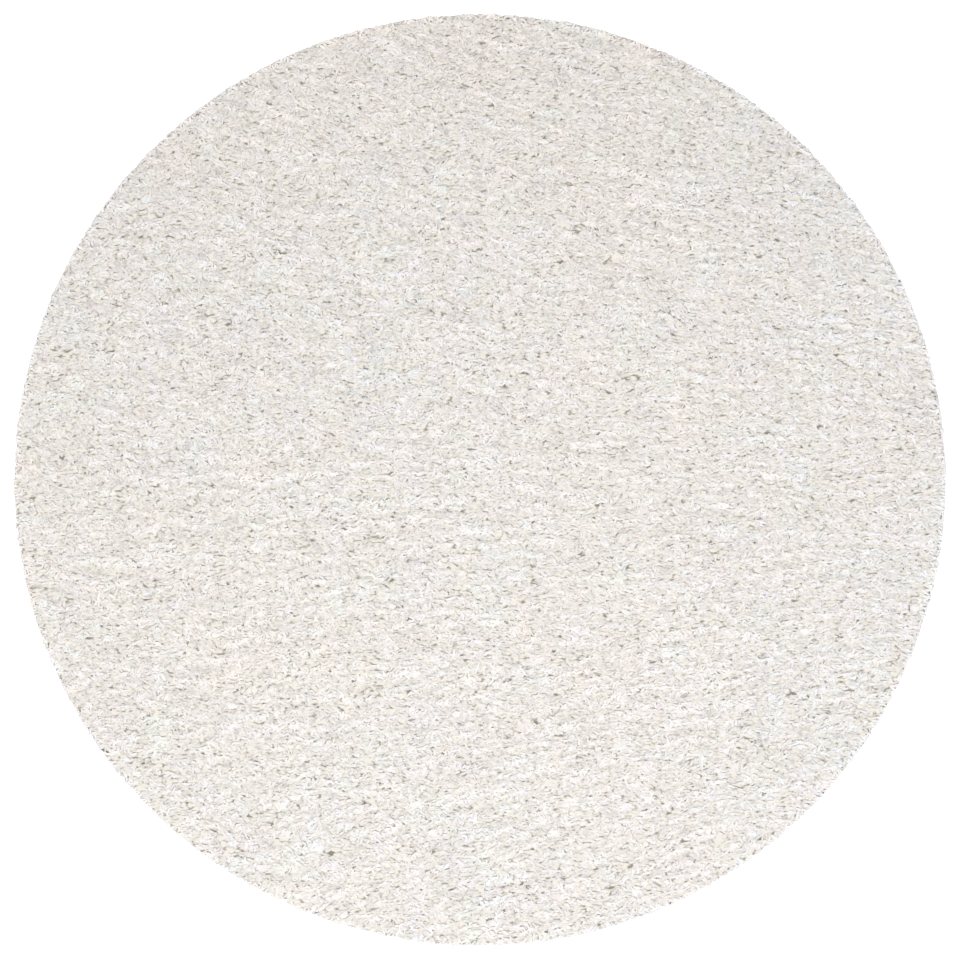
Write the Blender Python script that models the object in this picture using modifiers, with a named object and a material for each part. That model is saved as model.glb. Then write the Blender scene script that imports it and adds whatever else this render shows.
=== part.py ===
"""A round shag rug lying flat on the floor, as one turned solid of backing and pile.

The frame: metres, +Z up, origin at the middle of the underside, where the rug
rests on the floor. +Y runs up the rug as it is seen from above and +X to its right.
"""

import math

import bpy

# Driving dimensions, in metres
RUG_DIAMETER = 1.52  # across the trimmed ends of the pile
RUG_THICKNESS = 0.035  # from the floor to the top of the pile as it lies
BACKING_THICKNESS = 0.004  # woven ground and its stiffening coat
RIM_OVERHANG = 0.008  # how far the rim's yarns lean out past the backing's cut edge
SHOULDER_WIDTH = 0.010  # the pile rounds over at the rim, across this far in from the edge
SHOULDER_DROP = 0.012  # and falls this much
UNDERCUT_HEIGHT = 0.010  # height at which the leaning yarns reach the full diameter

# How finely the round shapes are cut
TURN_STEPS = 128
SHOULDER_STEPS = 7
UNDERCUT_STEPS = 4

# The yarn's colour, linear, as it looks over the whole pile
YARN_COLOUR = (0.80, 0.77, 0.73, 1.0)
YARN_ROUGHNESS = 0.95


def clear_scene():
    """Removes whatever the scene holds."""
    for item in list(bpy.data.objects):
        bpy.data.objects.remove(item, do_unlink=True)


def make_collection(name):
    """A new collection in the scene."""
    collection = bpy.data.collections.new(name)
    bpy.context.scene.collection.children.link(collection)
    return collection


def yarn_material():
    """Matt off-white pile yarn."""
    material = bpy.data.materials.new("off_white_pile_yarn")
    material.use_nodes = True
    shader = material.node_tree.nodes["Principled BSDF"]
    shader.inputs["Base Color"].default_value = YARN_COLOUR
    shader.inputs["Roughness"].default_value = YARN_ROUGHNESS
    shader.inputs["Metallic"].default_value = 0.0
    material.diffuse_color = YARN_COLOUR
    return material


def elliptic_arc(centre, width, height, start, end, steps):
    """Points (radius, height) along an ellipse's arc, its angles counted in degrees from outward."""
    points = []
    for step in range(steps + 1):
        angle = math.radians(start + (end - start) * step / steps)
        points.append((centre[0] + width * math.cos(angle), centre[1] + height * math.sin(angle)))
    return points


def rug_profile():
    """Half of the rug's section as (radius, height), from the top's middle round the rim to the floor."""
    radius = RUG_DIAMETER / 2
    shoulder = elliptic_arc(
        (radius - SHOULDER_WIDTH, RUG_THICKNESS - SHOULDER_DROP),
        SHOULDER_WIDTH,
        SHOULDER_DROP,
        90,
        0,
        SHOULDER_STEPS,
    )
    undercut = elliptic_arc(
        (radius - RIM_OVERHANG, UNDERCUT_HEIGHT),
        RIM_OVERHANG,
        UNDERCUT_HEIGHT - BACKING_THICKNESS,
        0,
        -90,
        UNDERCUT_STEPS,
    )
    backing_edge = [(radius - RIM_OVERHANG, 0.0)]
    return [(0.0, RUG_THICKNESS)] + shoulder + undercut + backing_edge + [(0.0, 0.0)]


def turned(name, profile, material, collection):
    """A closed solid of revolution about Z, from a profile that starts and ends on the axis."""
    mesh = bpy.data.meshes.new(name)
    points = [(radius, 0.0, height) for radius, height in profile]
    edges = [(index, index + 1) for index in range(len(points) - 1)]
    mesh.from_pydata(points, edges, [])
    mesh.materials.append(material)
    solid = bpy.data.objects.new(name, mesh)
    collection.objects.link(solid)

    screw = solid.modifiers.new("turn", "SCREW")
    screw.axis = "Z"
    screw.angle = math.tau
    screw.steps = TURN_STEPS
    screw.render_steps = TURN_STEPS
    screw.use_merge_vertices = True
    screw.merge_threshold = 0.0001
    screw.use_smooth_shade = True
    return solid


def main():
    clear_scene()
    collection = make_collection("Shag rug")
    turned("shag_rug", rug_profile(), yarn_material(), collection)


main()
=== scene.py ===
"""A round off-white shag rug seen from straight above: backing, packed foot, cut-pile yarns, stage.

Metres, +Z up, origin at the middle of the underside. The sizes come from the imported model
and from the yarn: a two-ply heat-set shag yarn, laid over by use, trimmed to a clean circle.
"""

import math

import bpy
import numpy as np
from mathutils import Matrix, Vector, noise


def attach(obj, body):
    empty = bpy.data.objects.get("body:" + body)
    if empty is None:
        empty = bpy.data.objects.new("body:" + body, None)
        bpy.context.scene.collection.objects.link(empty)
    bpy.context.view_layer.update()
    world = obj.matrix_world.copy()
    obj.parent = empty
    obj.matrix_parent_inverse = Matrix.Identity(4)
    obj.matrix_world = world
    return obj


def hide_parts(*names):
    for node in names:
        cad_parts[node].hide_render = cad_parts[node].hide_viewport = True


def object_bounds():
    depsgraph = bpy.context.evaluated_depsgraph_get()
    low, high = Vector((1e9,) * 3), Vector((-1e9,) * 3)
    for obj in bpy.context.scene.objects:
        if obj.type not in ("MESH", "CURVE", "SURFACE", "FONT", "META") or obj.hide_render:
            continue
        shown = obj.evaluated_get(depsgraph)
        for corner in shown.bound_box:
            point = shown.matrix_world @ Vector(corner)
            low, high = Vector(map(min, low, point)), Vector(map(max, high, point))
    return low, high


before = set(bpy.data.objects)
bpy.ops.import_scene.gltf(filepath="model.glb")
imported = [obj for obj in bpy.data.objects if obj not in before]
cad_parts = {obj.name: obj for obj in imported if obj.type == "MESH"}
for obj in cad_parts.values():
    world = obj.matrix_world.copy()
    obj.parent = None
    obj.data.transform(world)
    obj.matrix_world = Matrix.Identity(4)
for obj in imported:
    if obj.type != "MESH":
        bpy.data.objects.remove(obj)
CAD_BOX = [list(corner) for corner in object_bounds()]

bl_info = {
    "name": "Round shag rug",
    "version": (1, 0, 0),
    "blender": (4, 5, 0),
    "location": "3D View > Sidebar > Rug",
    "description": "Makes a round shag rug yarn by yarn, with its floor and light",
    "category": "Add Mesh",
}

NODE = "shag_rug"
BODY = "root"
RUG_RADIUS = (CAD_BOX[1][0] - CAD_BOX[0][0]) / 2
RUG_THICKNESS = CAD_BOX[1][2] - CAD_BOX[0][2]

# The photograph's frame, in pixels
PICTURE_SIDE = 960
PICTURED_RUG = 933.2  # the rug's diameter in it

WHITE = "#FFFFFF"
BAKE_MAP = "OFBake"  # every yarn has a patch of its own on this map
RUN_MAP = "yarn_run"  # u runs once round the yarn, v along it in metres
TONE = "yarn_tone"  # three numbers for each yarn, 0 to 1: warm to cool, rosy to green, dark to light; the last also holds painted shade and light

# The pile over the top stands in tufts, a few yarns in each, that lean the same way
TUFTS = 11500
TUFT_JITTER = 0.25  # how far tufts stray from an even spread, as a share of their spacing
TUFT_SPREADS = (0.0046, 0.0018)  # along the lie of the pile and across it, in metres
TUFT_FAN = 22  # how far, in degrees, a yarn turns from its tuft's way
TUFT_SINK = 0.0014  # the deepest tuft lies this far under the highest, in metres
YARN_SINK = 0.0008  # and the deepest yarn of a tuft this far under the highest

# Layers of yarns. Each yarn runs from its root in straight stretches: their lengths are in metres
# and their rises, in degrees, are angles above the ground. count: yarns in a tuft, or round the
# whole rim. added: yarns laid afterwards, in rounds, where the pile is still thin. pieces: meshes
# the layer is joined into. inside: how far, in metres, its yarns stay inside the rug's edge.
SHORT_YARNS = {
    "count": 9,
    "added": (7000, 6000, 4500),
    "pieces": 5,
    "lengths": (0.0098,),
    "rises": (40,),
    "inside": 0.0,
}
CURLED_YARNS = {
    "count": 1,
    "pieces": 1,
    "lengths": (0.0068, 0.0064),
    "rises": (44, 18),
    "inside": 0.0,
}
RIM_YARNS = {
    "count": 7000,
    "pieces": 1,
    "lengths": (0.014, 0.011),
    "rises": (42, 0),
    "inside": 0.002,
}
ADDED_SINK = 0.001  # the deepest of the yarns laid afterwards lies this far under the highest
ADDED_BACK = 0.6  # they are rooted this share of their reach back from the thin place
RIM_SINKS = (0.003, 0.006)  # least and most depth of the rim's yarns under the pile's top, in metres
RIM_FAN = 65  # how far, in degrees, the rim's yarns turn from straight down
RIM_LOWEST = 0.006  # height of their lowest roots, in metres
RIM_MARGIN = 0.008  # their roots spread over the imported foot's height less this

# How single yarns differ. Lengths and thicknesses: shares of the usual one. Rises, turns at the
# root and curls, which are turns from each stretch to the next: degrees.
LENGTH_SPREAD = 0.14
LENGTH_RANGE = (0.65, 1.35)
THICKNESS_SPREAD = 0.1
THICKNESS_RANGE = (0.75, 1.25)
RISE_SPREAD = 8
RISE_RANGE = (-1.2, 1.45)  # in radians
TURN_SPREAD = 10
CURL_SPREAD = 35
TWIST_SPREAD = 8
TURNED_BACK = 0.3  # this share of the pile leans against the rest
STRAY_SHARE = 0.75  # the pile strays this share of what is given for its area

# The yarns' tubes
CORNER_SHARE = 1.62  # about a three-sided tube's mean width over its corners' distance from its middle
TIP_SHARE = 0.72  # a cut tip's thickness over the yarn's
LEAST_FACING = 0.15  # least cosine between a shading normal and its face's own
PATCH_MARGIN = 0.06  # round each yarn's patch on the bake map, as a share of its square

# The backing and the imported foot
BACKING_RINGS = 12
BACKING_SPOKES = 200
FOOT_RINGS = 50
FOOT_SPOKES = 180
ROUNDING_STEPS = 6
SHARP_ANGLE = 50  # edges that turn by more, in degrees, look sharp
LUMP_SIZE = 0.012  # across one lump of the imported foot's surface
LUMP_HEIGHT = 0.0008
FOOT_OVERLAP = 0.0005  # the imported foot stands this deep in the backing
WALL_OUTSET = 0.0015  # and its side this far outside the backing's edge
ROOT_DEPTH = 0.0014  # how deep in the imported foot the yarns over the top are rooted, in metres
RIM_ROOT_DEPTH = 0.005  # and those of its side, so that the painted shade at their roots stays hidden
FAN_WIDTH = 0.012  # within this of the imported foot's side, yarns lean outwards more and more
FAN_SHARE = 0.6  # and at the side by this much of their lean
OUTWARD_WIDTH = 0.03  # within this of it, no yarn that is laid afterwards leans inwards

# The pile's top rounds over at the rim: this far in from the edge, and this far down
RIM_WIDTH = 0.006
RIM_DROP = 0.009

# Along its partings the pile is this much lower, in metres. The widths of a parting and of the
# slopes beside it are in parts of the waves that draw them.
RELIEF = 0.0047
PARTING_WIDTH = 0.24
SLOPE_WIDTH = 0.5
ROW_SPACING = 0.024  # from one row of fuller pile to the next
ROW_FAN = 0.5  # how fast, for each metre to the right, the rows draw together
ROW_STRENGTH = 0.8  # usual height of a fuller row and depth of a leaner one
ROW_CONTRAST = 0.6  # how much wider and narrower partings are in leaner and fuller rows
WIDTH_RANGE = (0.2, 2)  # but they stay within these shares of their width

# The waves in the pile: how strong, how long across the rows in metres, how many times longer
# along the rows, and which slice of the noise they take
WAVES = {
    "row bend": (0.012, 0.12, 1.0, 6),  # in metres
    "row shift": (2.4, 0.03, 3.0, 8),  # in radians of the rows' spacing
    "row strength": (0.6, 0.06, 2.0, 9),
    "parting": (1.0, 0.012, 3.5, 3),
    "ragged parting": (0.25, 0.007, 2.5, 4),
    "wide turn": (0.25, 0.09, 1.0, 1),  # in radians of the lie of the pile
    "close turn": (0.3, 0.016, 1.5, 5),  # and so is this
}

# Thin places are looked for on a square grid of this step, at most one in each block of cells
GRID_STEP = 0.0016
BLOCK = 5
THIN_DEPTH = 0.0025  # a place is thin where its highest yarn lies deeper than this
THIN_MARGIN = 0.004  # no place is looked for this near the rug's edge
# A yarn is followed in this many steps, and at each along three lines: how far beside its middle
# they lie and how high its surface is there, in thicknesses
COVER_STEPS = 9
COVER_LINES = ((-0.35, 0.35), (0.0, 0.5), (0.35, 0.35))

# Many fine fibres scatter light in real pile, so a single yarn shows little shade of its own. Its
# shading normals are this much the pile's own, which point up this much more than the ground's.
SOFTNESS = 0.74
UPWARD = 1.8

# The three tones of the yarns: their means, how far each strays yarn by yarn, clump by clump, in
# patches and broadly, and how far it drifts for every metre to the right and away. The sizes of
# the clumps, the patches and the broad changes are in metres.
CLUMP_SIZE = 0.006
CLUMP_STRETCH = 2  # clumps are this many times as long as they are high
PATCH_SIZE = 0.07
BROAD_SIZE = 0.45
TONE_MEANS = (0.5, 0.5, 0.77)
TONE_SPREADS = ((0.10, 0.30, 0.23, 0.14), (0.11, 0.34, 0.24, 0.14), (0.18, 0.04, 0.02, 0.02))
# The third tone's drift away is painted shade: the yarns grow darker towards the far side, away from the
# softbox
TONE_DRIFTS = ((0.20, 0.0), (0.12, 0.0), (0.0, -0.155))

# Painted shade and light on the yarns: darker in the partings, on the slopes beside them and, step by
# step in metres, where they lie deeper than usual, and lighter in the fuller rows. At the rim, which is
# open to light from the side, painted light makes them lighter still: from this far in from the edge,
# and fully after this width.
PARTING_PAINTED_SHADE = 0.30
SLOPE_PAINTED_SHADE = 0.25
DEPTH_PAINTED_SHADE = 0.43
USUAL_DEPTH = 0.0033
DEPTH_STEP = 0.004
ROW_PAINTED_LIGHT = 0.11
RIM_PAINTED_LIGHT = 0.9
RIM_LIGHT_START = 0.012
RIM_LIGHT_WIDTH = 0.008

# Areas of the pile. x and y: metres from the middle. reach: metres. lean: degrees from +X.
# stray: how far, in degrees, its tufts turn from that.
NAP = (
    {"x": 0.55, "y": 0.12, "reach": 0.24, "lean": -13, "stray": 30},
    {"x": 0.35, "y": -0.35, "reach": 0.26, "lean": 12, "stray": 32},
    {"x": -0.45, "y": -0.38, "reach": 0.24, "lean": 7, "stray": 34},
    {"x": -0.55, "y": 0.00, "reach": 0.22, "lean": -4, "stray": 38},
    {"x": 0.22, "y": 0.30, "reach": 0.22, "lean": -12, "stray": 40},
    {"x": -0.22, "y": 0.30, "reach": 0.20, "lean": 0, "stray": 60},
    {"x": 0.05, "y": 0.66, "reach": 0.20, "lean": 3, "stray": 42},
    {"x": 0.00, "y": -0.66, "reach": 0.20, "lean": 5, "stray": 34},
    {"x": 0.00, "y": -0.05, "reach": 0.18, "lean": -3, "stray": 38},
)
FAINT = 1e-6  # each area counts at least this much everywhere

NOISE_GAP = 17.3  # between the slices of noise that different uses take
TINY = 1e-9  # stands in for a length of nought under a division

# The stage, in metres
FLOOR_SIZE = 24
FLOOR_GAP = 0.0005  # just clear of the backing
LAMP_HEIGHT = 4.6
LAMP_SIZE = 3.0


def linear(code):
    """A colour written as sRGB hex, as linear numbers with full alpha."""
    channels = [int(code[i : i + 2], 16) / 255 for i in (1, 3, 5)]
    return tuple(c / 12.92 if c <= 0.04045 else ((c + 0.055) / 1.055) ** 2.4 for c in channels) + (1.0,)


def add(tree, kind, inputs=None, **settings):
    """Adds a node. inputs gives a value, or another node's output, for a socket by name or number."""
    node = tree.nodes.new(kind)
    for name, value in settings.items():
        setattr(node, name, value)
    for socket, value in (inputs or {}).items():
        if isinstance(value, bpy.types.NodeSocket):
            tree.links.new(value, node.inputs[socket])
        else:
            node.inputs[socket].default_value = value
    return node


def new_material(name):
    """An empty node material with its Principled shader wired to the output."""
    material = bpy.data.materials.new(name)
    material.use_nodes = True
    tree = material.node_tree
    tree.nodes.clear()
    shader = add(tree, "ShaderNodeBsdfPrincipled")
    add(tree, "ShaderNodeOutputMaterial", {"Surface": shader.outputs[0]})
    return material, tree, shader


def set_ramp(ramp, stops):
    """Gives a colour ramp these (position, sRGB hex) stops."""
    while len(ramp.elements) < len(stops):
        ramp.elements.new(1.0)
    for element, (position, code) in zip(ramp.elements, stops, strict=True):
        element.position, element.color = position, linear(code)


# Sizes and colours


class RUG_PG_Pile(bpy.types.PropertyGroup):
    """The pile yarn."""

    thickness: bpy.props.FloatProperty(
        name="Yarn thickness", description="Across one two-ply yarn", default=0.0039, unit="LENGTH"
    )
    peach: bpy.props.StringProperty(
        name="Peach cream", description="Warm, rosy yarns, sRGB hex", default="#EEE6E0"
    )
    blush: bpy.props.StringProperty(
        name="Blush white", description="Cool, rosy yarns, sRGB hex", default="#ECE4E7"
    )
    straw: bpy.props.StringProperty(
        name="Straw cream", description="Warm yarns with a little green, sRGB hex", default="#E7E9E3"
    )
    mist: bpy.props.StringProperty(
        name="Mist white", description="Cool yarns with a little green, sRGB hex", default="#E5E7EA"
    )
    # The tint of the darkest yarns: their own tone at random, and painted shade and light as well
    dull: bpy.props.StringProperty(
        name="Dull yarn",
        description="Tint of the dullest yarns against the cleanest, sRGB hex",
        default="#D6D4D2",
    )
    pitch: bpy.props.FloatProperty(
        name="Twist",
        description="Length of yarn in which its plies turn once round",
        default=0.010,
        unit="LENGTH",
    )
    # Painted shade: the yarn is darkened in the grooves between its plies
    groove: bpy.props.FloatProperty(
        name="Groove shade",
        description="How much darker the yarn is between its plies",
        default=0.04,
        subtype="FACTOR",
    )
    # Painted shade: near the packed foot the yarn takes this darker colour, where shade falls
    root: bpy.props.StringProperty(
        name="Root",
        description="Yarn near the packed foot, where lint dulls it, sRGB hex",
        default="#DAD6D0",
    )
    seed: bpy.props.IntProperty(name="Seed", description="Changes how each yarn falls", default=7)


class RUG_PG_Ground(bpy.types.PropertyGroup):
    """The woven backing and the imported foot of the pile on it."""

    top: bpy.props.FloatProperty(
        name="Top of the packed foot",
        description="Height of the packed foot of the pile above the floor",
        default=0.0285,
        unit="LENGTH",
    )
    rounding: bpy.props.FloatProperty(
        name="Rounding", description="Radius of the packed foot's upper edge", default=0.007, unit="LENGTH"
    )
    backing: bpy.props.FloatProperty(
        name="Backing",
        description="Thickness of the woven backing and its coat",
        default=0.004,
        unit="LENGTH",
    )
    inset: bpy.props.FloatProperty(
        name="Inset",
        description="How far the backing's cut edge lies inside the trimmed pile",
        default=0.008,
        unit="LENGTH",
    )
    foot: bpy.props.StringProperty(
        name="Foot of the pile", description="Its colour on the yarns, sRGB hex", default="#DCD7CF"
    )
    # Painted shade between the packed yarns
    crevice_shade: bpy.props.StringProperty(
        name="Crevices", description="Its colour between the yarns, sRGB hex", default="#827D72"
    )
    jute: bpy.props.StringProperty(
        name="Backing weave", description="Its colour under the coat, sRGB hex", default="#B9A98A"
    )


class RUG_PG_Stage(bpy.types.PropertyGroup):
    """Floor, light and camera."""

    distance: bpy.props.FloatProperty(
        name="Camera height",
        description="Camera above half the rug's thickness",
        default=3.8,
        unit="LENGTH",
    )
    lamp: bpy.props.FloatProperty(
        name="Lamp", description="Power of the overhead softbox", default=213.0, subtype="POWER"
    )
    offset: bpy.props.FloatProperty(
        name="Lamp offset",
        description="How far the softbox stands towards the near side of the rug",
        default=0.8,
        unit="LENGTH",
    )
    table: bpy.props.FloatProperty(
        name="Light table", description="Light that comes up through the white floor", default=1.3
    )
    sky: bpy.props.FloatProperty(name="Room light", description="Light from the white room", default=0.425)


# Backing and foot of the pile


def cut_radius(sizes):
    """Radius of the backing's cut edge."""
    return RUG_RADIUS - sizes.inset


def wall_radius(sizes):
    """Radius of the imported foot's side, a little over the backing's edge."""
    return cut_radius(sizes) + WALL_OUTSET


def turned(name, profile, spokes, lump=0.0):
    """A closed body turned about Z from (radius, height) pairs, first and last of them on the axis.

    lump: how uneven it is, in metres.
    """
    points, faces = [(0.0, 0.0, profile[0][1])], []
    for radius, height in profile[1:-1]:
        for spoke in range(spokes):
            angle = math.tau * spoke / spokes
            x, y = radius * math.cos(angle), radius * math.sin(angle)
            swell = lump * noise.noise((x / LUMP_SIZE, y / LUMP_SIZE, height / LUMP_SIZE))
            points.append((x * (1 + swell), y * (1 + swell), height + swell))
    points.append((0.0, 0.0, profile[-1][1]))
    rings, last = len(profile) - 2, len(points) - 1
    for spoke in range(spokes):
        after = (spoke + 1) % spokes
        faces.append((0, 1 + spoke, 1 + after))
        for row in range(rings - 1):
            a, b = 1 + row * spokes, 1 + (row + 1) * spokes
            faces.append((a + spoke, b + spoke, b + after, a + after))
        a = 1 + (rings - 1) * spokes
        faces.append((a + spoke, last, a + after))
    mesh = bpy.data.meshes.new(name)
    mesh.from_pydata(points, [], faces)
    mesh.shade_smooth()
    mesh.set_sharp_from_angle(angle=math.radians(SHARP_ANGLE))
    piece = bpy.data.objects.new(name, mesh)
    bpy.context.scene.collection.objects.link(piece)
    return piece


def make_backing(sizes):
    """The flat woven backing that lies on the floor."""
    shares = [i / BACKING_RINGS for i in range(BACKING_RINGS + 1)]
    wall = cut_radius(sizes)
    upper = [(wall * share, sizes.backing) for share in shares]
    lower = [(wall * share, 0.0) for share in reversed(shares)]
    return turned("woven_backing", upper + lower, BACKING_SPOKES)


def make_foot(sizes):
    """The foot of the pile, packed too densely for its yarns to part, on the backing."""
    wall = wall_radius(sizes)
    flat = wall - sizes.rounding
    top = [(flat * i / FOOT_RINGS, sizes.top) for i in range(FOOT_RINGS + 1)]
    angles = [math.radians(90 * i / ROUNDING_STEPS) for i in range(1, ROUNDING_STEPS + 1)]
    rim = [
        (flat + sizes.rounding * math.sin(angle), sizes.top - sizes.rounding * (1 - math.cos(angle)))
        for angle in angles
    ]
    low = sizes.backing - FOOT_OVERLAP
    return turned("packed_foot", top + rim + [(wall, low), (0.0, low)], FOOT_SPOKES, LUMP_HEIGHT)


def foot_material(ground):
    """Packed polypropylene cut pile in the shade: matt, off-white, with painted shade between the yarns.

    The yarns that lie on one another in it show about 9 mm long and 4 mm wide, and wind by up to
    12 mm every 20 mm or so.
    """
    length, width, wind, winding = 0.009, 0.004, 0.012, 0.02
    material, tree, shader = new_material("packed_polypropylene_pile")
    place = add(tree, "ShaderNodeTexCoord").outputs["Object"]
    wander = add(tree, "ShaderNodeTexNoise", {"Vector": place, "Scale": 1 / winding, "Detail": 1.0})
    bent = add(
        tree,
        "ShaderNodeMix",
        {0: wind, 4: place, 5: wander.outputs["Color"]},
        data_type="VECTOR",
    )
    drawn = add(
        tree,
        "ShaderNodeMapping",
        {"Vector": bent.outputs[1], "Scale": (1 / length, 1 / width, 1 / width)},
    )
    yarns = add(tree, "ShaderNodeTexVoronoi", {"Vector": drawn.outputs[0], "Scale": 1.0}, feature="F1")
    # Painted shade: darker away from the middle of each drawn yarn, between the yarns
    shade = add(tree, "ShaderNodeValToRGB", {"Fac": yarns.outputs["Distance"]})
    set_ramp(shade.color_ramp, ((0.5, ground.foot), (0.88, ground.crevice_shade)))
    bump = add(
        tree,
        "ShaderNodeBump",
        {"Height": yarns.outputs["Distance"], "Strength": 0.6, "Distance": 0.0015},
        invert=True,
    )
    tree.links.new(shade.outputs["Color"], shader.inputs["Base Color"])
    tree.links.new(bump.outputs["Normal"], shader.inputs["Normal"])
    shader.inputs["Roughness"].default_value = 0.9
    shader.inputs["IOR"].default_value = 1.49
    return material


def backing_material(ground):
    """Plain-woven jute under a thin stiffening coat: coarse threads, dull with a faint glaze.

    Its threads lie 2.5 mm apart, and the coat shows specks of 6 mm. A wave texture of scale 1
    repeats every tau / 20.
    """
    thread_spacing, speck_size = 0.0025, 0.006
    material, tree, shader = new_material("coated_jute_weave")
    place = add(tree, "ShaderNodeTexCoord").outputs["Object"]
    heights = []
    for turn in (0.0, math.pi / 2):
        along = add(tree, "ShaderNodeMapping", {"Vector": place, "Rotation": (0.0, 0.0, turn)})
        thread = add(
            tree,
            "ShaderNodeTexWave",
            {
                "Vector": along.outputs[0],
                "Scale": math.tau / 20 / thread_spacing,
                "Distortion": 0.6,
                "Detail": 1.0,
            },
            wave_type="BANDS",
            bands_direction="X",
        )
        heights.append(thread.outputs["Fac"])
    weave = add(tree, "ShaderNodeMath", {0: heights[0], 1: heights[1]}, operation="MULTIPLY")
    speck = add(tree, "ShaderNodeTexNoise", {"Vector": place, "Scale": 1 / speck_size, "Detail": 3.0})
    level = add(
        tree,
        "ShaderNodeMath",
        {0: weave.outputs[0], 1: speck.outputs["Fac"]},
        operation="MULTIPLY",
    )
    shade = add(tree, "ShaderNodeValToRGB", {"Fac": level.outputs[0]})
    set_ramp(shade.color_ramp, ((0.0, "#8F8065"), (0.35, ground.jute), (0.8, "#CFC3A8")))
    bump = add(tree, "ShaderNodeBump", {"Height": weave.outputs[0], "Strength": 0.7, "Distance": 0.0006})
    tree.links.new(shade.outputs["Color"], shader.inputs["Base Color"])
    tree.links.new(bump.outputs["Normal"], shader.inputs["Normal"])
    shader.inputs["Roughness"].default_value = 0.7
    shader.inputs["IOR"].default_value = 1.5
    return material


class RUG_OT_make_ground(bpy.types.Operator):
    """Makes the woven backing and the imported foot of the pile"""

    bl_idname = "rug.make_ground"
    bl_label = "Backing and foot"

    def execute(self, context):
        sizes = context.scene.rug_ground
        backing = make_backing(sizes)
        backing.data.materials.append(backing_material(sizes))
        foot = make_foot(sizes)
        foot.data.materials.append(foot_material(sizes))
        for piece in (backing, foot):
            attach(piece, BODY)
            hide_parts(NODE)
        return {"FINISHED"}


# The pile


def spiral(count, inner, outer):
    """Evenly spread points over a ring, as radius and angle: each one a golden angle on from the last."""
    number = np.arange(count) + 0.5
    radius = np.sqrt(inner**2 + (outer**2 - inner**2) * number / count)
    return radius, number * math.pi * (3 - math.sqrt(5))


def smooth_noise(x, y, wavelength, layer):
    """A smooth random number, about -1 to 1, at each point. layer: a number for each use."""
    scale = 1 / wavelength
    places = zip(x * scale, y * scale, strict=True)
    return 2 * np.array([noise.noise((a, b, NOISE_GAP * layer)) for a, b in places])


def wave(kind, x, y):
    """One of the waves in the pile at each point. y: across the rows, or up the rug."""
    strength, length, stretch, layer = WAVES[kind]
    return strength * smooth_noise(x / stretch, y, length, layer)


def nap_at(x, y):
    """Which way the pile leans at each point, and how far single yarns stray from it, in radians."""
    weight = np.full(len(x), FAINT)
    lean = np.zeros(len(x))
    stray = np.zeros(len(x))
    for area in NAP:
        squared = (x - area["x"]) ** 2 + (y - area["y"]) ** 2
        near = np.exp(-squared / (2 * area["reach"] ** 2)) + FAINT
        weight += near
        lean += near * area["lean"]
        stray += near * area["stray"]
    return np.radians(lean / weight), np.radians(stray / weight)


def unit(vectors):
    """These vectors, each made one long."""
    return vectors / np.maximum(np.linalg.norm(vectors, axis=-1, keepdims=True), TINY)


def envelope(radius):
    """Height of the pile's top at this distance from the middle: flat, then rounded over at the rim."""
    out = np.clip((radius - (RUG_RADIUS - RIM_WIDTH)) / RIM_WIDTH, 0, 1)
    return RUG_THICKNESS - RIM_DROP * (1 - np.sqrt(1 - out**2))


def across_rows(x, y):
    """How far across the rows of the pile each point lies: they fan out to the left and waver."""
    return y * np.exp(ROW_FAN * x) + wave("row bend", x, y)


def row_height(x, y):
    """About 1 on the wavy rows of fuller pile and -1 in the leaner rows between them.

    The rows are stronger in some places than in others.
    """
    over = across_rows(x, y)
    strength = ROW_STRENGTH + wave("row strength", x, over)
    return strength * np.sin(math.tau * over / ROW_SPACING + wave("row shift", x, over))


def parting(x, y, width=PARTING_WIDTH):
    """1 along the wavy lines where the pile parts, 0 away from them: wide in the leaner rows.

    The lines run where two waves add up to nought.
    """
    over = across_rows(x, y)
    line = wave("parting", x, over) + wave("ragged parting", x, over)
    width = width * (1 - ROW_CONTRAST * row_height(x, y)).clip(*WIDTH_RANGE)
    return np.exp(-((line / width) ** 2))


def trimmed(points, yarn, sink, most):
    """Keeps points inside the pile's outer shape: lower in the partings, bent down at the rim.

    most: the greatest radius at which the middle of a yarn may lie.
    """
    radius = np.hypot(points[:, 0], points[:, 1])
    sink = sink + RELIEF * parting(points[:, 0], points[:, 1])
    over = np.maximum(radius - most, 0)
    shrink = np.where(radius > most, most / np.maximum(radius, TINY), 1.0)
    flat = points[:, :2] * shrink[:, None]
    height = np.minimum(points[:, 2] - over, envelope(np.minimum(radius, most)) - yarn / 2 - sink)
    clear_of_floor = 0.7 * yarn
    return np.column_stack([flat, np.maximum(height, clear_of_floor)])


def grow(roots, normals, leans, layer, sink, rng, yarn):
    """Centre lines of the yarns, one point for each end of a stretch."""
    most = RUG_RADIUS - yarn / 2 - layer["inside"]
    count = len(roots)
    size = rng.normal(1.0, LENGTH_SPREAD, count).clip(*LENGTH_RANGE)
    lines = [roots]
    sideways = np.cross(normals, leans)
    turn = rng.normal(0, TURN_SPREAD, count)
    curl = rng.normal(0, CURL_SPREAD, count)
    for length, rise in zip(layer["lengths"], layer["rises"], strict=True):
        up = np.radians(rise + rng.normal(0, RISE_SPREAD, count)).clip(*RISE_RANGE)
        bend = np.radians(turn)
        level = leans * np.cos(bend)[:, None] + sideways * np.sin(bend)[:, None]
        step = level * np.cos(up)[:, None] + normals * np.sin(up)[:, None]
        reach = (length * size)[:, None]
        point = lines[-1] + step * reach
        point = trimmed(point, yarn, sink, most)
        point = lines[-1] + unit(point - lines[-1]) * reach
        lines.append(trimmed(point, yarn, sink, most))
        turn = turn + curl
    return np.stack(lines, 1)


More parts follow.
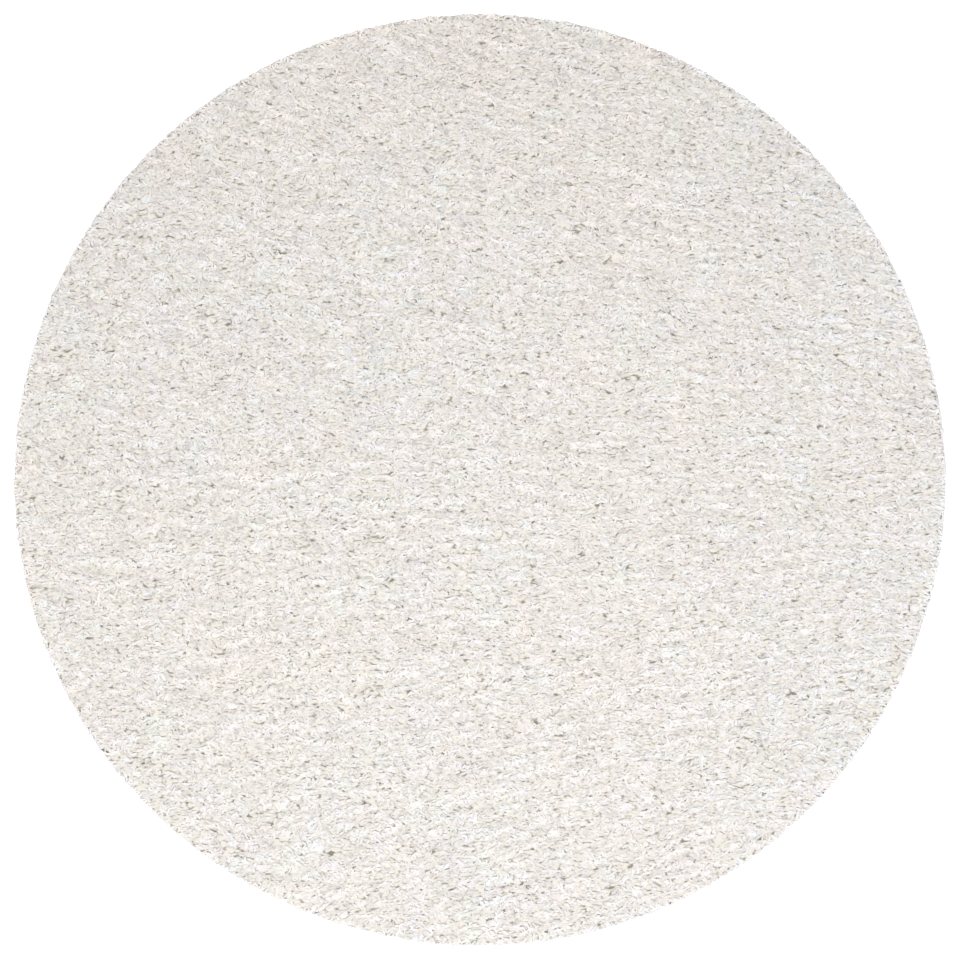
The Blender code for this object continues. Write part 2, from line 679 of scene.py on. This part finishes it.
def tube_pattern(stretches):
    """Corners of one three-sided tube, as vertex numbers, face sizes and places on both maps.

    Its root end, inside the foot, is open and its cut end is closed. On the bake map the cut end
    lies above the sides.
    """
    corners, sizes, patch, run = [], [], [], []
    rows = stretches + 1
    for k in range(stretches):
        for j in range(3):
            after = (j + 1) % 3
            corners += [k * 3 + j, k * 3 + after, k * 3 + 3 + after, k * 3 + 3 + j]
            sizes.append(4)
            for u, v in ((j, k), (j + 1, k), (j + 1, k + 1), (j, k + 1)):
                patch.append((u / 3, v / rows))
                run.append((u / 3, v / stretches))
    corners += [stretches * 3 + j for j in range(3)]
    sizes.append(3)
    for u, v in ((0.1, 0.2), (0.9, 0.2), (0.5, 0.9)):
        patch.append((u, (stretches + v) / rows))
        run.append((0.5, 1.0))
    return np.array(corners), np.array(sizes), np.array(patch), np.array(run)


def tube_mesh(name, lines, normals, thickness, tones, rng):
    """One mesh of three-sided yarns along these centre lines, with both maps, tones and normals."""
    count, rings = lines.shape[:2]
    stretches = rings - 1
    steps = unit(np.diff(lines, axis=1))
    tangents = np.concatenate([steps[:, :1], unit(steps[:, :-1] + steps[:, 1:]), steps[:, -1:]], 1)
    phase = rng.uniform(0, math.tau, count)
    twist = rng.normal(0, math.radians(TWIST_SPREAD), count)
    radius = thickness * rng.normal(1.0, THICKNESS_SPREAD, count).clip(*THICKNESS_RANGE) / CORNER_SHARE
    side = unit(np.cross(tangents[:, 0], np.array([0.3, 0.2, 1.0])))  # hardly any yarn runs that way
    points = np.empty((count, rings, 3, 3))
    spokes = np.empty((count, rings, 3, 3))
    for k in range(rings):
        along = tangents[:, k]
        side = unit(side - (side * along).sum(1, keepdims=True) * along)
        other = np.cross(along, side)
        size = radius * (TIP_SHARE if k == stretches else 1.0)
        for j in range(3):
            angle = phase + twist * k + math.tau * j / 3
            spokes[:, k, j] = side * np.cos(angle)[:, None] + other * np.sin(angle)[:, None]
            points[:, k, j] = lines[:, k] + spokes[:, k, j] * size[:, None]

    corners, sizes, patch, run = tube_pattern(stretches)
    starts = np.concatenate([[0], np.cumsum(sizes)[:-1]])
    points = points.reshape(count, -1, 3)
    spokes = spokes.reshape(count, -1, 3)
    softened = unit(normals + np.array([0, 0, UPWARD]))
    faced = (1 - SOFTNESS) * spokes[:, corners] + SOFTNESS * softened[:, None]
    # No shading normal may face away from its own face
    for start, size in zip(starts, sizes, strict=True):
        ring = points[:, corners[start : start + size]]
        flat = unit(np.cross(ring[:, 2] - ring[:, 0], ring[:, -1] - ring[:, 1]))[:, None]
        shaded = unit(faced[:, start : start + size])
        short = np.maximum(LEAST_FACING - (shaded * flat).sum(2, keepdims=True), 0)
        faced[:, start : start + size] = unit(shaded + short * flat)

    vertices = rings * 3
    mesh = bpy.data.meshes.new(name)
    mesh.vertices.add(count * vertices)
    mesh.vertices.foreach_set("co", points.reshape(-1).astype(np.float32))
    mesh.loops.add(count * len(corners))
    numbers = corners[None] + np.arange(count)[:, None] * vertices
    mesh.loops.foreach_set("vertex_index", numbers.reshape(-1).astype(np.int32))
    mesh.polygons.add(count * len(sizes))
    starts = starts[None] + np.arange(count)[:, None] * len(corners)
    mesh.polygons.foreach_set("loop_start", starts.reshape(-1).astype(np.int32))

    # Each yarn has a square of the bake map to itself, with a margin round its patch
    columns = math.ceil(math.sqrt(count))
    cell = np.stack([np.arange(count) % columns, np.arange(count) // columns], 1)
    spread = (cell[:, None] + PATCH_MARGIN + (1 - 2 * PATCH_MARGIN) * patch[None]) / columns
    mesh.uv_layers.new(name=BAKE_MAP).uv.foreach_set("vector", spread.reshape(-1).astype(np.float32))
    length = np.linalg.norm(np.diff(lines, axis=1), axis=2).sum(1)
    along = np.stack(np.broadcast_arrays(run[None, :, 0], run[None, :, 1] * length[:, None]), -1)
    mesh.uv_layers.new(name=RUN_MAP).uv.foreach_set("vector", along.reshape(-1).astype(np.float32))
    tone = mesh.attributes.new(TONE, "FLOAT_VECTOR", "FACE")
    tone.data.foreach_set("vector", np.repeat(tones, len(sizes), 0).reshape(-1).astype(np.float32))
    shading = mesh.attributes.new("custom_normal", "FLOAT_VECTOR", "CORNER")
    shading.data.foreach_set("vector", faced.reshape(-1).astype(np.float32))
    mesh.update(calc_edges=True)
    mesh.shade_smooth()
    piece = bpy.data.objects.new(name, mesh)
    bpy.context.scene.collection.objects.link(piece)
    return piece


def yarn_material(pile):
    """Heat-set two-ply polypropylene yarn: matt, softly lit, with painted shade in the grooves between its
    plies.

    Its fibres are a tenth of a millimetre thick. They are drawn as 14 streaks round the yarn,
    each 4 mm long, because finer ones would not show. The first millimetre from the root has the
    root's colour, a painted shade, and past 8 mm the yarn has its own.
    """
    streaks, streak_length, full_shade_end, root_shade_end = 14.0, 0.004, 0.001, 0.008
    material, tree, shader = new_material("heat_set_polypropylene_yarn")
    tone = add(tree, "ShaderNodeAttribute", attribute_name=TONE).outputs["Vector"]
    tone = add(tree, "ShaderNodeSeparateXYZ", {"Vector": tone})
    rosy = add(
        tree,
        "ShaderNodeMix",
        {0: tone.outputs["X"], 6: linear(pile.peach), 7: linear(pile.blush)},
        data_type="RGBA",
    )
    green = add(
        tree,
        "ShaderNodeMix",
        {0: tone.outputs["X"], 6: linear(pile.straw), 7: linear(pile.mist)},
        data_type="RGBA",
    )
    hue = add(
        tree,
        "ShaderNodeMix",
        {0: tone.outputs["Y"], 6: rosy.outputs[2], 7: green.outputs[2]},
        data_type="RGBA",
    )
    # Low third tones take the dull tint: the yarns' own tone at random, and painted shade and light
    dull = add(
        tree,
        "ShaderNodeMix",
        {0: tone.outputs["Z"], 6: linear(pile.dull), 7: linear(WHITE)},
        data_type="RGBA",
    )
    dye = add(
        tree,
        "ShaderNodeMix",
        {0: 1.0, 6: hue.outputs[2], 7: dull.outputs[2]},
        data_type="RGBA",
        blend_type="MULTIPLY",
    )
    run = add(tree, "ShaderNodeUVMap", uv_map=RUN_MAP).outputs["UV"]
    split = add(tree, "ShaderNodeSeparateXYZ", {"Vector": run})
    # Painted shade: near its root the yarn takes the root's darker colour
    foot = add(
        tree,
        "ShaderNodeMapRange",
        {"Value": split.outputs["Y"], "From Min": full_shade_end, "From Max": root_shade_end},
        interpolation_type="SMOOTHSTEP",
    )
    colour = add(
        tree,
        "ShaderNodeMix",
        {0: foot.outputs["Result"], 6: linear(pile.root), 7: dye.outputs[2]},
        data_type="RGBA",
    )

    # Two plies wind round each other: their height is zero in the groove between them
    wound = add(
        tree,
        "ShaderNodeMath",
        {0: split.outputs["Y"], 1: 1 / pile.pitch, 2: split.outputs["X"]},
        operation="MULTIPLY_ADD",
    )
    angle = add(tree, "ShaderNodeMath", {0: wound.outputs[0], 1: math.tau}, operation="MULTIPLY")
    wave = add(tree, "ShaderNodeMath", {0: angle.outputs[0]}, operation="SINE")
    plies = add(tree, "ShaderNodeMath", {0: wave.outputs[0]}, operation="ABSOLUTE")
    fibre_place = add(tree, "ShaderNodeCombineXYZ", {"X": wound.outputs[0], "Y": split.outputs["Y"]})
    stretched = add(
        tree,
        "ShaderNodeMapping",
        {"Vector": fibre_place.outputs[0], "Scale": (streaks, 1 / streak_length, 1.0)},
    )
    fibres = add(tree, "ShaderNodeTexNoise", {"Vector": stretched.outputs[0], "Scale": 1.0, "Detail": 1.0})
    height = add(
        tree,
        "ShaderNodeMath",
        {0: fibres.outputs["Fac"], 1: 0.25, 2: plies.outputs[0]},
        operation="MULTIPLY_ADD",
    )
    bump = add(tree, "ShaderNodeBump", {"Height": height.outputs[0], "Strength": 0.25, "Distance": 0.0008})
    # Painted shade: the yarn is darker in the grooves between its plies
    groove = add(
        tree,
        "ShaderNodeMapRange",
        {"Value": plies.outputs[0], "From Max": 0.55, "To Min": 1 - pile.groove},
    )
    grooved = add(
        tree,
        "ShaderNodeHueSaturation",
        {"Value": groove.outputs["Result"], "Color": colour.outputs[2]},
    )
    tree.links.new(grooved.outputs["Color"], shader.inputs["Base Color"])
    tree.links.new(bump.outputs["Normal"], shader.inputs["Normal"])
    shader.inputs["Roughness"].default_value = 0.75
    shader.inputs["IOR"].default_value = 1.49
    return material


def rooted(x, y, ground):
    """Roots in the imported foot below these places, and its surface normals there."""
    wall = wall_radius(ground)
    flat = wall - ground.rounding
    radius = np.maximum(np.hypot(x, y), TINY)
    bend = np.clip((radius - flat) / ground.rounding, 0, 1) * math.pi / 2
    outward = np.stack([x, y], 1) / radius[:, None]
    base = np.minimum(radius, flat) + ground.rounding * np.sin(bend)
    height = ground.top - ground.rounding * (1 - np.cos(bend)) - ROOT_DEPTH
    normals = np.column_stack([outward * np.sin(bend)[:, None], np.cos(bend)])
    return np.column_stack([outward * base[:, None], height]), normals


def laid(x, y, rng):
    """Directions, in radians from +X, in which the pile at these places lies."""
    way, stray = nap_at(x, y)
    way = way + wave("wide turn", x, y) + wave("close turn", x, y)
    way = way + rng.normal(0, STRAY_SHARE, len(x)) * stray
    return way + np.where(rng.uniform(0, 1, len(x)) < TURNED_BACK, math.pi, 0.0)


def over_top(x, y, way, ground):
    """Roots, normals and leans of yarns over the flat top and its rounded edge, where they fan out."""
    roots, normals = rooted(x, y, ground)
    radius = np.hypot(x, y)
    lean = np.column_stack([np.cos(way), np.sin(way), np.zeros(len(x))])
    fan = np.clip((radius - (wall_radius(ground) - FAN_WIDTH)) / FAN_WIDTH, 0, 1) * FAN_SHARE
    lean[:, :2] += np.stack([x, y], 1) * (fan / np.maximum(radius, TINY))[:, None]
    lean = unit(lean - (lean * normals).sum(1, keepdims=True) * normals)
    return roots, normals, lean


def cover(lines, yarn):
    """Height of the highest yarn over each cell of a square grid."""
    side = int(2 * RUG_RADIUS / GRID_STEP) + 1
    top = np.zeros(side * side)
    for near, far in zip(lines[:, :-1].swapaxes(0, 1), lines[:, 1:].swapaxes(0, 1), strict=True):
        ahead = unit((far - near)[:, :2])
        beside = np.column_stack([-ahead[:, 1], ahead[:, 0]]) * yarn
        for part in np.linspace(0, 1, COVER_STEPS):
            middle = near + (far - near) * part
            for offset, rise in COVER_LINES:
                cell = ((middle[:, :2] + beside * offset + RUG_RADIUS) / GRID_STEP).astype(int)
                cell = cell.clip(0, side - 1)
                np.maximum.at(top, cell[:, 0] * side + cell[:, 1], middle[:, 2] + rise * yarn)
    return top.reshape(side, side)


def thin_places(top, count):
    """Where the pile lies lowest outside its partings, at most one place in a block, as x and y."""
    blocks_across = len(top) // BLOCK
    side = blocks_across * BLOCK
    middle = (np.arange(side) + 0.5) * GRID_STEP - RUG_RADIUS
    radius = np.hypot(middle[:, None], middle[None])
    low = np.maximum(envelope(np.minimum(radius, RUG_RADIUS)) - THIN_DEPTH - top[:side, :side], 0)
    low = np.where(radius < RUG_RADIUS - THIN_MARGIN, low, 0)
    smooth = sum(np.roll(low, shift, (0, 1)) for shift in ((0, 0), (1, 0), (-1, 0), (0, 1), (0, -1)))
    blocks = smooth.reshape(blocks_across, BLOCK, blocks_across, BLOCK).swapaxes(1, 2)
    blocks = blocks.reshape(blocks_across, blocks_across, BLOCK * BLOCK)
    worst, where = blocks.max(2).ravel(), blocks.argmax(2).ravel()
    chosen = np.argsort(-worst, kind="stable")[: 2 * count]
    row = chosen // blocks_across * BLOCK + where[chosen] // BLOCK
    column = chosen % blocks_across * BLOCK + where[chosen] % BLOCK
    x, y = middle[row], middle[column]
    rank = worst[chosen] * (1 - parting(x, y))
    kept = np.argsort(-rank, kind="stable")[:count]
    return x[kept], y[kept]


def tufted(layer, pile, ground, rng):
    """A layer's yarns, a few in each tuft: centre lines, normals at their roots, tuft centres.

    The tufts have random numbers of their own, so every layer grows in the same ones.
    """
    wall = wall_radius(ground)
    radius, angle = spiral(TUFTS, 0.0, wall)
    middles = np.random.default_rng(pile.seed)
    jitter = TUFT_JITTER * math.sqrt(math.pi * wall**2 / TUFTS)
    centre_x = radius * np.cos(angle) + middles.normal(0, jitter, TUFTS)
    centre_y = radius * np.sin(angle) + middles.normal(0, jitter, TUFTS)
    way = laid(centre_x, centre_y, middles)
    sink = TUFT_SINK * (0.5 - 0.5 * row_height(centre_x, centre_y)).clip(0, 1)
    tuft = np.repeat(np.arange(TUFTS), layer["count"])
    heading = nap_at(centre_x, centre_y)[0][tuft]
    along = rng.normal(0, TUFT_SPREADS[0], len(tuft))
    aside = rng.normal(0, TUFT_SPREADS[1], len(tuft))
    x = centre_x[tuft] + along * np.cos(heading) - aside * np.sin(heading)
    y = centre_y[tuft] + along * np.sin(heading) + aside * np.cos(heading)
    way = way[tuft] + rng.normal(0, math.radians(TUFT_FAN), len(tuft))
    sink = sink[tuft] + rng.uniform(0, YARN_SINK, len(tuft))
    roots, normals, lean = over_top(x, y, way, ground)
    lines = grow(roots, normals, lean, layer, sink, rng, pile.thickness)
    halfway = (lines[:, 0] + lines[:, 1]) / 2
    tips = lines[:, 1]
    split = np.maximum(parting(tips[:, 0], tips[:, 1]), parting(halfway[:, 0], halfway[:, 1]))
    kept = rng.uniform(0, 1, len(lines)) > split
    return lines[kept], normals[kept], np.stack([centre_x, centre_y], 1)[tuft][kept]


def fill(layer, curled, made, pile, ground, rng):
    """Adds the layer's yarns over the places that the tufts leave thin.

    They are rooted a little back from there, and near the rim they lean outwards.
    """
    lines, normals, seats = made
    back = ADDED_BACK * layer["lengths"][0] * math.cos(math.radians(layer["rises"][0]))
    for count in layer["added"]:
        top = np.maximum(cover(curled, pile.thickness), cover(lines, pile.thickness))
        x, y = thin_places(top, count)
        way = laid(x, y, rng)
        inwards = x * np.cos(way) + y * np.sin(way) < 0
        near_rim = np.hypot(x, y) > wall_radius(ground) - OUTWARD_WIDTH
        way = np.where(inwards & near_rim, way + math.pi, way)
        x, y = x - back * np.cos(way), y - back * np.sin(way)
        roots, more_normals, lean = over_top(x, y, way, ground)
        sink = rng.uniform(0, ADDED_SINK, len(x))
        more = grow(roots, more_normals, lean, layer, sink, rng, pile.thickness)
        lines, normals = np.concatenate([lines, more]), np.concatenate([normals, more_normals])
        seats = np.concatenate([seats, np.stack([x, y], 1)])
    return lines, normals, seats


def rim_yarns(pile, ground, rng):
    """The yarns on the rug's side, which hang towards the floor: centre lines, normals, roots."""
    count = RIM_YARNS["count"]
    number = np.arange(count) + 0.5
    _, angle = spiral(count, 0.0, 1.0)
    up = np.array([0, 0, 1.0])
    outward = np.column_stack([np.cos(angle), np.sin(angle), np.zeros(count)])
    height = RIM_LOWEST + (ground.top - RIM_MARGIN) * number / count
    wall = wall_radius(ground)
    above = np.clip((height - (ground.top - ground.rounding)) / ground.rounding, 0, 1)
    bend = np.arcsin(above)
    base = wall - ground.rounding * (1 - np.cos(bend)) - RIM_ROOT_DEPTH
    roots = outward * base[:, None] + up * height[:, None]
    normals = outward * np.cos(bend)[:, None] + up * np.sin(bend)[:, None]
    along = np.column_stack([-outward[:, 1], outward[:, 0], np.zeros(count)])
    way = rng.normal(0, math.radians(RIM_FAN), count)
    lean = along * np.sin(way)[:, None] - up * np.cos(way)[:, None]
    lean = unit(lean - (lean * normals).sum(1, keepdims=True) * normals)
    sink = rng.uniform(*RIM_SINKS, count)
    return grow(roots, normals, lean, RIM_YARNS, sink, rng, pile.thickness), normals, roots[:, :2]


def yarn_tones(tips, seats, rng):
    """Warm to cool, rosy to green and dark to light for each yarn, in clumps, patches and broadly. Dark to
    light also carries painted shade and light.
    """
    x, y, height = tips.T
    tones = []
    for number, mean in enumerate(TONE_MEANS):
        single, clump, patch, broad = TONE_SPREADS[number]
        right, away = TONE_DRIFTS[number]
        tone = mean + single * rng.normal(0, 1, len(x))
        tone += clump * smooth_noise(seats[:, 0] / CLUMP_STRETCH, seats[:, 1], CLUMP_SIZE, 10 + number)
        tone += patch * smooth_noise(x, y, PATCH_SIZE, 20 + number)
        shared = 30 + number // 2  # the first two tones, which make the hue, change broadly together
        tone += broad * smooth_noise(x, y, BROAD_SIZE, shared) + right * x + away * y
        tones.append(tone)
    radius = np.hypot(x, y)
    # Painted shade in the partings, on their slopes and deeper down; painted light on the fuller rows and
    # at the rim
    deeper = (envelope(radius) - height - USUAL_DEPTH) / DEPTH_STEP
    tones[2] -= PARTING_PAINTED_SHADE * parting(x, y) + SLOPE_PAINTED_SHADE * parting(x, y, SLOPE_WIDTH)
    tones[2] -= DEPTH_PAINTED_SHADE * deeper.clip(-1, 1)
    tones[2] += ROW_PAINTED_LIGHT * row_height(x, y)
    at_rim = np.clip((radius - (RUG_RADIUS - RIM_LIGHT_START)) / RIM_LIGHT_WIDTH, 0, 1)
    tones[2] += RIM_PAINTED_LIGHT * at_rim
    return np.stack(tones, 1).clip(0, 1)


def plant(name, layer, made, pile, rng):
    """Makes the layer's pieces of these yarns, from the near side of the rug to the far side."""
    lines, normals, seats = made
    tones = yarn_tones(lines[:, 1], seats, rng)
    pieces = []
    order = np.argsort(lines[:, 0, 1])
    for number, chosen in enumerate(np.array_split(order, layer["pieces"]), 1):
        label = f"{name}_{number}"
        pieces.append(tube_mesh(label, lines[chosen], normals[chosen], pile.thickness, tones[chosen], rng))
    return pieces


class RUG_OT_make_pile(bpy.types.Operator):
    """Makes the cut-pile yarns, layer by layer"""

    bl_idname = "rug.make_pile"
    bl_label = "Pile"

    def execute(self, context):
        scene = context.scene
        material = yarn_material(scene.rug_pile)
        pile, ground = scene.rug_pile, scene.rug_ground
        rng = np.random.default_rng(pile.seed)
        curled = tufted(CURLED_YARNS, pile, ground, rng)
        short = tufted(SHORT_YARNS, pile, ground, rng)
        short = fill(SHORT_YARNS, curled[0], short, pile, ground, rng)
        made = plant("curled_yarns", CURLED_YARNS, curled, pile, rng)
        made += plant("short_yarns", SHORT_YARNS, short, pile, rng)
        made += plant("rim_yarns", RIM_YARNS, rim_yarns(pile, ground, rng), pile, rng)
        for piece in made:
            piece.data.materials.append(material)
            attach(piece, BODY)
            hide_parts(NODE)
        return {"FINISHED"}


# Floor, light and camera


def area_lamp(name, place, size, power, colour):
    """A square softbox that faces the middle of the rug."""
    lamp = bpy.data.lights.new(name, "AREA")
    lamp.shape = "SQUARE"
    lamp.size = size
    lamp.energy = power
    lamp.color = linear(colour)[:3]
    holder = bpy.data.objects.new(name, lamp)
    holder.location = place
    holder.rotation_euler = (-Vector(place)).to_track_quat("-Z", "Y").to_euler()
    bpy.context.scene.collection.objects.link(holder)


class RUG_OT_make_stage(bpy.types.Operator):
    """Makes the floor, the light and the camera"""

    bl_idname = "rug.make_stage"
    bl_label = "Stage"

    def execute(self, context):
        scene = context.scene
        stage = scene.rug_stage
        bpy.ops.mesh.primitive_plane_add(size=FLOOR_SIZE, location=(0, 0, -FLOOR_GAP))
        floor = context.object
        floor.name = "floor"

        # White acrylic lit from below: an even white that throws light up at the rim
        material, _, shader = new_material("white_acrylic_light_table")
        shader.inputs["Base Color"].default_value = linear("#FAFAFA")
        shader.inputs["Roughness"].default_value = 0.9
        shader.inputs["Emission Color"].default_value = linear(WHITE)
        shader.inputs["Emission Strength"].default_value = stage.table
        floor.data.materials.append(material)

        area_lamp("softbox", (0.0, -stage.offset, LAMP_HEIGHT), LAMP_SIZE, stage.lamp, WHITE)
        world = bpy.data.worlds.new("white_room")
        world.use_nodes = True
        background = world.node_tree.nodes["Background"]
        background.inputs["Color"].default_value = linear(WHITE)
        background.inputs["Strength"].default_value = stage.sky
        scene.world = world

        camera = bpy.data.cameras.new("camera")
        seen = 2 * RUG_RADIUS * PICTURE_SIDE / PICTURED_RUG  # this much of the rug's plane fits the frame
        camera.lens = camera.sensor_width * stage.distance / seen
        holder = bpy.data.objects.new("camera", camera)
        holder.location = (0.0, 0.0, RUG_THICKNESS / 2 + stage.distance)
        scene.collection.objects.link(holder)
        scene.camera = holder
        scene.view_settings.view_transform = "Standard"
        return {"FINISHED"}


class RUG_PT_panel(bpy.types.Panel):
    """The rug's operators and sizes"""

    bl_idname = "RUG_PT_panel"
    bl_label = "Round shag rug"
    bl_space_type = "VIEW_3D"
    bl_region_type = "UI"
    bl_category = "Rug"

    def draw(self, context):
        for operator in OPERATORS:
            self.layout.operator(operator.bl_idname)
        for group, _ in GROUPS:
            settings = getattr(context.scene, group)
            for name in settings.bl_rna.properties.keys():
                if name not in ("rna_type", "name"):
                    self.layout.prop(settings, name)


GROUPS = (("rug_pile", RUG_PG_Pile), ("rug_ground", RUG_PG_Ground), ("rug_stage", RUG_PG_Stage))
OPERATORS = (RUG_OT_make_ground, RUG_OT_make_pile, RUG_OT_make_stage)


def register():
    """Registers the sizes, the operators and the panel."""
    for name, group in GROUPS:
        bpy.utils.register_class(group)
        setattr(bpy.types.Scene, name, bpy.props.PointerProperty(type=group))
    for item in OPERATORS + (RUG_PT_panel,):
        bpy.utils.register_class(item)


def unregister():
    """Takes them out again."""
    for item in (RUG_PT_panel,) + OPERATORS[::-1]:
        bpy.utils.unregister_class(item)
    for name, group in GROUPS[::-1]:
        delattr(bpy.types.Scene, name)
        bpy.utils.unregister_class(group)


def main():
    register()
    bpy.ops.rug.make_ground()
    bpy.ops.rug.make_pile()
    bpy.ops.rug.make_stage()


if __name__ == "__main__":
    main()
